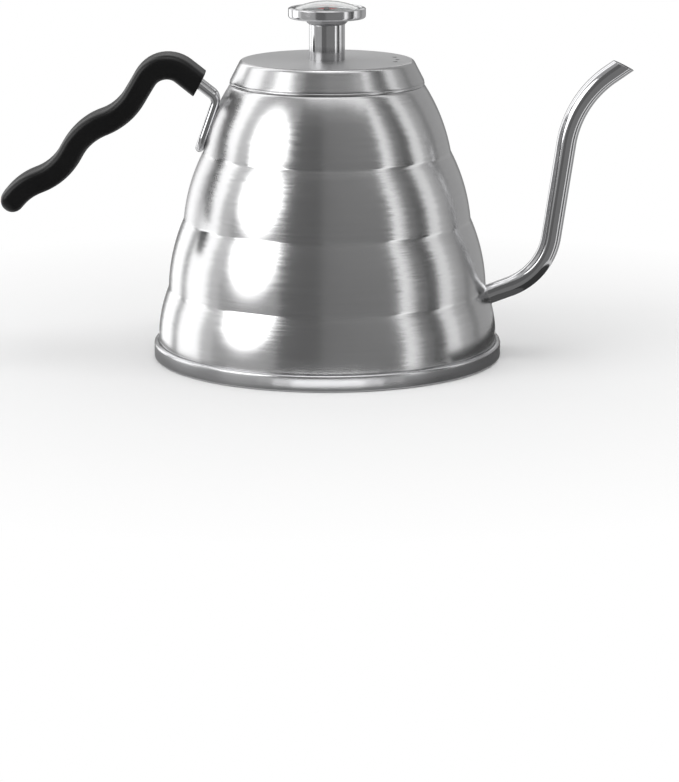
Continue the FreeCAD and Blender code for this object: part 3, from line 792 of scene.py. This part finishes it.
def makeGrip():
    line = bentLine(grip["path"], grip["step"])
    shape = bmesh.new()
    rows = []

    def addRing(centre, heading, thick, wide):
        upright = Vector((-heading.y, heading.x))
        row = []
        for part in range(grip["sides"]):
            turn = 2 * math.pi * part / grip["sides"]
            place = centre + upright * fullRound(math.sin(turn)) * thick
            row.append(shape.verts.new(Vector((place.x, fullRound(math.cos(turn)) * wide, place.y)) * mm))
        rows.append(row)

    befores, afters = [line[0], *line], [*line[1:], line[-1]]
    headings = [(after - before).normalized() for before, after in zip(befores, afters)]
    wide = grip["halfWidth"]
    faceRound = grip["faceRound"]
    slant = math.radians(grip["faceSlant"])
    facing = Matrix.Rotation(slant, 2) @ headings[0]  # the wire end is cut a little steeper than square
    faceThick = halfThickness(line[0].x) / math.cos(slant)
    for part in range(grip["faceParts"] + 1):  # the edge round the wire end
        turn = math.pi / 2 * part / grip["faceParts"]
        centre = line[0] + headings[0] * faceRound * (1 - math.cos(turn))
        shrink = faceRound * (1 - math.sin(turn))
        addRing(centre, facing, faceThick - shrink, wide - shrink)
    travelled = 0.0
    for index, (centre, heading) in enumerate(zip(line, headings)):
        travelled += (centre - line[index - 1]).length if index else 0.0
        if travelled > faceRound + faceThick * math.sin(slant) + grip["faceClear"]:
            addRing(centre, heading, halfThickness(centre.x), wide)
    thick = halfThickness(line[-1].x)
    for part in range(1, grip["endParts"]):  # the rounded low end
        turn = math.pi / 2 * part / grip["endParts"]
        narrow = thick * math.cos(turn)
        addRing(line[-1] + headings[-1] * thick * math.sin(turn), headings[-1], narrow, wide - thick + narrow)
    joinRows(shape, rows)
    mesh = tidyMesh(meshFrom("wavy_grip", shape), grip["sharp"])
    addPiece("wavy_grip", mesh, "kettle", "grip_black", "gripBlack", "handle_grip")


makeWire()
makeGrip()
print("handle made")

welds = {
    "rootBead": 0.38, "rippleDepth": 0.12, "ripplePitch": 2.4, "sides": 12,
    "legBead": 0.6, "legTop": 108.5, "legLow": 98.0, "legParts": 24, "legEnds": 0.3,
}


def makeWelds():
    middle = sum(spoutRoot, Vector()) / len(spoutRoot)
    across = Vector((0, 1, 0))
    up = spoutHeading.cross(across)

    def turnOf(place):
        return math.atan2((place - middle).dot(up), (place - middle).dot(across))

    ordered = sorted(spoutRoot, key=turnOf)
    ripples = [math.sin(index * welds["ripplePitch"]) for index in range(len(ordered))]
    widths = [1.0 + welds["rippleDepth"] * ripple for ripple in ripples]
    values = {"radius": welds["rootBead"] * mm, "sides": welds["sides"], "finish": finishes["weldSteel"]}
    bead = runTree("spout_weld", bending, ordered, True, values, widths)
    addPiece("spout_weld", tidyMesh(bead), "kettle", "bright_steel", "weldSteel")
    values.update({"radius": welds["legBead"] * mm, "caps": 1})
    joined = bmesh.new()
    for side in (-1, 1):
        points = []
        widths = []
        for part in range(welds["legParts"] + 1):
            share = part / welds["legParts"]
            height = welds["legTop"] + (welds["legLow"] - welds["legTop"]) * share
            reach = elbow.x + (ankle.x - elbow.x) * (height - elbow.y) / (ankle.y - elbow.y)
            outward = Vector((reach, side * wire["gap"] / 2)).normalized() * wallRadius(height)
            points.append(Vector((outward.x, outward.y, height)) * mm)
            widths.append(welds["legEnds"] + (1 - welds["legEnds"]) * math.sin(math.pi * share) ** 0.5)
        joined.from_mesh(runTree("legWeld", bending, points, False, values, widths))
    mesh = tidyMesh(meshFrom("wire_welds", joined))
    addPiece("wire_welds", mesh, "kettle", "bright_steel", "weldSteel")


makeWelds()
print("welds laid")

# the dial print: marks from 0 to 120 over three quarters of a turn, with a red field round 100
dial = {
    "plateTop": 149.15, "ink": 0.03, "zeroTurn": -45.0, "sweep": -270.0, "top": 120,
    "small": {"every": 2, "outer": 13.2, "length": 1.0, "width": 0.16},
    "large": {"every": 20, "outer": 13.2, "length": 2.0, "width": 0.36},
    "numberRing": 9.2, "numberSize": 2.3,
    "numberLift": 1.5,  # in layers of ink, which sets the numbers on top of the red field
    "redFrom": 90, "redTo": 110, "redInner": 2.6, "redOuter": 12.0, "redParts": 24,
}


def tickTree():
    bench, given, handles = openTree("dialMarks", {
        "count": 61, "ring": 0.012, "from": 0.0, "sweep": 1.0, "length": 0.001, "width": 0.0002,
        "ink": 0.00003, "height": 0.1})
    row = arcRow(bench, given, given.out("height") + given.out("ink") * 0.5)
    step = given.out("sweep") * bench.add("GeometryNodeInputIndex") / (given.out("count") - 1)
    turned = bench.add("FunctionNodeAxisAngleToRotation", {},
                       {"Axis": (0.0, 0.0, 1.0), "Angle": given.out("from") + step})
    block = bench.add("ShaderNodeCombineXYZ", {},
                      {0: given.out("length"), 1: given.out("width"), 2: given.out("ink")})
    mark = bench.add("GeometryNodeMeshCube", {}, {"Size": block})
    marks = bench.add("GeometryNodeInstanceOnPoints", {},
                      {"Points": row, "Instance": mark, "Rotation": turned})
    closeTree(bench, given, marks)
    return bench, handles


def dialTurn(number):  # where a temperature stands on the dial, in degrees
    return dial["zeroTurn"] + dial["sweep"] * number / dial["top"]


def dialPlace(turn, radius, height):
    return Vector((math.cos(turn) * radius, math.sin(turn) * radius, height)) * mm


def numberMesh(number):
    text = bpy.data.curves.new("dialNumber", "FONT")
    text.body = str(number)
    text.size = dial["numberSize"] * mm
    text.align_x = "CENTER"
    text.align_y = "CENTER"
    text.extrude = dial["ink"] / 2 * mm
    text.resolution_u = 3
    host = placeObject("dialNumber", text)
    mesh = bakedMesh(host)
    bpy.data.objects.remove(host)
    height = dial["plateTop"] + dial["ink"] * dial["numberLift"]
    place = dialPlace(math.radians(dialTurn(number)), dial["numberRing"], height)
    mesh.transform(Matrix.Translation(place) @ Matrix.Rotation(math.pi / 2, 4, "Z"))
    return mesh


def makeMarks():
    marks = bmesh.new()
    tree = tickTree()
    for row in (dial["small"], dial["large"]):
        values = {
            "count": dial["top"] // row["every"] + 1, "ring": (row["outer"] - row["length"] / 2) * mm,
            "from": math.radians(dial["zeroTurn"]), "sweep": math.radians(dial["sweep"]),
            "length": row["length"] * mm, "width": row["width"] * mm, "ink": dial["ink"] * mm,
            "height": dial["plateTop"] * mm, "finish": finishes["blackInk"],
        }
        marks.from_mesh(runTree("dialRow", tree, [(0, 0, 0), (0, 0, 1)], False, values))
    for number in range(0, dial["top"] + 1, dial["large"]["every"]):
        marks.from_mesh(numberMesh(number))
    addPiece("dial_marks", tidyMesh(meshFrom("dial_marks", marks)), "lid", "needle_black", "blackInk")


def makeRedField():
    shape = bmesh.new()
    start, finish = dialTurn(dial["redFrom"]), dialTurn(dial["redTo"])
    inner, outer = dial["redInner"], dial["redOuter"]
    low, high = dial["plateTop"], dial["plateTop"] + dial["ink"]
    rows = []
    for part in range(dial["redParts"] + 1):
        turn = math.radians(start + (finish - start) * part / dial["redParts"])
        ring = [(inner, low), (outer, low), (outer, high), (inner, high)]
        rows.append([shape.verts.new(dialPlace(turn, radius, height)) for radius, height in ring])
    joinRows(shape, rows)
    addPiece("dial_red_field", tidyMesh(meshFrom("dial_red_field", shape)), "lid", "dial_print", "redInk")


makeMarks()
makeRedField()
print("dial printed")

carried = {  # the frame's own nodes that stay, and the finish of each
    "heat_spreader": "rolledAluminium", "floor_pan": "satinFoot", "lid_plug": "satinFoot",
    "seal_washer": "sealGrey", "lock_nut": "plainSteel", "dial_face": "shadedDialPlate", "lens_gasket": "sealGrey",
    "probe_tube": "plainSteel", "probe_tip": "plainSteel", "spindle_bushes": "brass",
    "bimetal_coil": "bimetal", "spindle": "plainSteel", "needle_hub": "blackInk", "needle": "blackInk",
}
for node, finish in carried.items():
    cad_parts[node].material_slots[0].material = finishes[finish]
print("carried nodes dressed:", len(carried))

camera = {"place": (0.00529, -1.2992, 0.2894), "pitch": 13.26, "lens": 140.8, "sensor": 36.0, "far": 100.0}
studio = {
    "floorTone": 0.93, "floorHalf": 12.0, "ambient": 0.56, "white": (1.0, 1.0, 1.0, 1.0),
    "fadeFrom": 0.1, "fadeTo": 0.3,  # over this stretch the floor turns plain white
    "clearFrom": 0.098, "clearTo": 0.101,  # and past this ring the metal looks through it
    "softbox": {"place": (-2.401, -1.431, 1.149), "aim": (0.0, 0.0, 0.06), "size": (2.17, 2.37),
                "power": 30.5},
    "overhead": {"place": (0.1, -0.1, 1.3), "aim": (0.0, 0.0, 0.0), "size": (1.1, 1.1), "power": 6.0},
    # only the metal sees the cards. A wall has start and end turn from the camera's side and tone, and then
    # high angle, low angle and reach where they differ from wallEdges. The angles are taken at eye height
    "cardParts": 24, "eye": 0.06, "wallEdges": (62.0, -13.0, 3.4),
    "walls": [
        (-34.0, -4.0, 0.15, 54.0),
        (-4.0, 30.0, 0.225, 53.5),
        (30.0, 41.0, 0.225, 51.0),
        (41.0, 53.0, 0.22, 46.5),
        (20.0, 61.5, 1.27, 62.0, -13.0, 3.6),
        (61.5, 66.0, 0.75),
        (66.0, 76.0, 0.22),
        (76.0, 87.5, 0.1),
        (87.5, 101.0, 1.08),
        (101.0, 109.0, 0.55),
        (109.0, 117.0, 0.44),
        (117.0, 125.0, 0.27),
        (125.0, 160.0, 0.43),
        (160.0, 205.0, 0.25, 14.0),
        (160.0, 205.0, 0.84, 34.0, 14.0),
        (160.0, 205.0, 0.25, 62.0, 34.0),
        (-83.0, -34.0, 0.42),
        (-95.5, -83.0, 0.7),
        (-121.0, -95.5, 1.75),
        (-130.0, -122.0, 0.45),
        (-151.0, -130.0, 1.7),
    ],
    "flatHeight": 0.0005,
    "flats": [  # cards on the floor: start and end turn, near and far edge, tone
        (-115.0, -45.0, 0.0752, 0.098, 0.22),
        (-45.0, -26.0, 0.0752, 0.0915, 0.21),
        (-45.0, -26.0, 0.0915, 0.099, 0.9),
        (-26.0, 30.0, 0.0752, 0.082, 0.17),
        (-26.0, -20.0, 0.082, 0.0885, 0.28),
        (-26.0, -20.0, 0.0885, 0.0928, 1.8),
        (-20.0, -13.0, 0.082, 0.0865, 0.4),
        (-20.0, -13.0, 0.0865, 0.0928, 3.2),
        (-13.0, 14.0, 0.082, 0.0862, 0.6),
        (-13.0, 14.0, 0.0862, 0.0928, 5.0),
        (14.0, 21.0, 0.082, 0.0865, 0.4),
        (14.0, 21.0, 0.0865, 0.0928, 3.2),
        (21.0, 30.0, 0.082, 0.0885, 0.25),
        (21.0, 30.0, 0.0885, 0.0928, 1.8),
        (-26.0, 30.0, 0.0928, 0.099, 0.08),
        (30.0, 54.0, 0.0752, 0.0925, 0.1),
        (30.0, 54.0, 0.0925, 0.1, 0.5),
        (54.0, 115.0, 0.0752, 0.1, 0.11),
        (62.0, 140.0, 0.1, 0.147, 0.05),
        (62.0, 140.0, 0.147, 0.156, 0.8),
    ],
    "ceiling": {"radius": 0.36, "height": 1.6, "tone": 2.3},
}


def placeCamera():
    view = bpy.data.cameras.new("photoCamera")
    view.lens = camera["lens"]
    view.sensor_width = camera["sensor"]
    view.clip_end = camera["far"]
    scene.camera = placeObject("photoCamera", view)
    scene.camera.location = camera["place"]
    scene.camera.rotation_euler = (math.radians(90.0 - camera["pitch"]), 0.0, 0.0)


def placeLamp(name, inMetal):
    lamp = studio[name]
    light = bpy.data.lights.new(name, "AREA")
    light.shape = "ELLIPSE"
    light.size, light.size_y = lamp["size"]
    light.energy = lamp["power"]
    holder = placeObject(name, light)
    holder.location = lamp["place"]
    holder.rotation_euler = (Vector(lamp["aim"]) - Vector(lamp["place"])).to_track_quat("-Z", "Y").to_euler()
    holder.visible_camera = False
    holder.visible_glossy = inMetal


def placeCard(name, start, finish, edges, tone):  # a strip between two arcs, each given by radius and height
    shape = bmesh.new()
    rows = []
    for part in range(studio["cardParts"] + 1):
        turn = math.radians(start + (finish - start) * part / studio["cardParts"])
        rows.append([shape.verts.new((math.sin(turn) * radius, -math.cos(turn) * radius, height))
                     for radius, height in edges])
    for row, following in zip(rows, rows[1:]):
        shape.faces.new((row[0], following[0], following[1], row[1]))
    mesh = meshFrom(name, shape)
    material, bench = newFinish(name)
    glow = bench.add("ShaderNodeEmission", {}, {"Color": (tone, tone, tone, 1.0), "Strength": 1.0})
    bench.add("ShaderNodeOutputMaterial", {}, {"Surface": glow})
    mesh.materials.append(material)
    holder = placeObject(name, mesh)
    for ray in ("camera", "diffuse", "transmission", "shadow"):
        setattr(holder, "visible_" + ray, False)


def placeCards():
    for index, wall in enumerate(studio["walls"]):
        start, finish, tone, high, low, reach = (*wall, *studio["wallEdges"][len(wall) - 3:])
        bottom, top = [studio["eye"] + reach * math.tan(math.radians(angle)) for angle in (low, high)]
        placeCard(f"wall{index}", start, finish, [(reach, bottom), (reach, top)], tone)
        if low < 0:  # the strip runs on under the floor, which the metal looks through
            placeCard(f"under{index}", start, finish, [(0.0, bottom), (reach, bottom)], min(tone, 1.0))
    for index, (start, finish, near, far, tone) in enumerate(studio["flats"]):
        edges = [(radius, studio["flatHeight"]) for radius in (near, far)]
        placeCard(f"flat{index}", start, finish, edges, tone)
    ceiling = studio["ceiling"]
    edges = [(radius, ceiling["height"]) for radius in (0.0, ceiling["radius"])]
    placeCard("ceiling", -180.0, 180.0, edges, ceiling["tone"])


def seenRays(bench):  # rays that see the paper as plain white, and those among them that come from metal
    path = bench.add("ShaderNodeLightPath")
    inMetal = path.out("Is Glossy Ray")
    return (path.out("Is Camera Ray") + inMetal + path.out("Is Transmission Ray")).between(), inMetal


def makeWorld():
    world = bpy.data.worlds.new("studio")
    world.use_nodes = True
    world.node_tree.nodes.clear()
    bench = Bench(world.node_tree)
    seen, _ = seenRays(bench)
    ambient = bench.add("ShaderNodeBackground", {}, {"Strength": studio["ambient"], "Color": studio["white"]})
    white = bench.add("ShaderNodeBackground", {}, {"Strength": 1.0, "Color": studio["white"]})
    both = bench.add("ShaderNodeMixShader", {}, {0: seen, 1: ambient, 2: white})
    bench.add("ShaderNodeOutputWorld", {}, {"Surface": both})
    scene.world = world


def makeFloor():
    half = studio["floorHalf"]
    mesh = bpy.data.meshes.new("floor")
    corners = [(-half, -half, 0), (half, -half, 0), (half, half, 0), (-half, half, 0)]
    mesh.from_pydata(corners, [], [(0, 1, 2, 3)])
    material, bench = newFinish("paleFloor")
    x, y, _ = objectAxes(bench)
    radius = fromAxis(x, y)
    away = (radius - studio["fadeFrom"]) / (studio["fadeTo"] - studio["fadeFrom"])
    opened = (radius - studio["clearFrom"]) / (studio["clearTo"] - studio["clearFrom"])
    seen, inMetal = seenRays(bench)
    paper = bench.add("ShaderNodeBsdfDiffuse", {}, {"Color": (*[studio["floorTone"]] * 3, 1.0)})
    white = bench.add("ShaderNodeEmission", {}, {"Strength": 1.0, "Color": studio["white"]})
    through = bench.add("ShaderNodeBsdfTransparent")
    faded = bench.add("ShaderNodeMixShader", {}, {0: away.between() * seen, 1: paper, 2: white})
    surface = bench.add("ShaderNodeMixShader", {}, {0: opened.between() * inMetal, 1: faded, 2: through})
    bench.add("ShaderNodeOutputMaterial", {}, {"Surface": surface})
    mesh.materials.append(material)
    placeObject("floor", mesh)


placeCamera()
placeLamp("softbox", True)
placeLamp("overhead", False)
placeCards()
makeWorld()
makeFloor()
print("studio set")
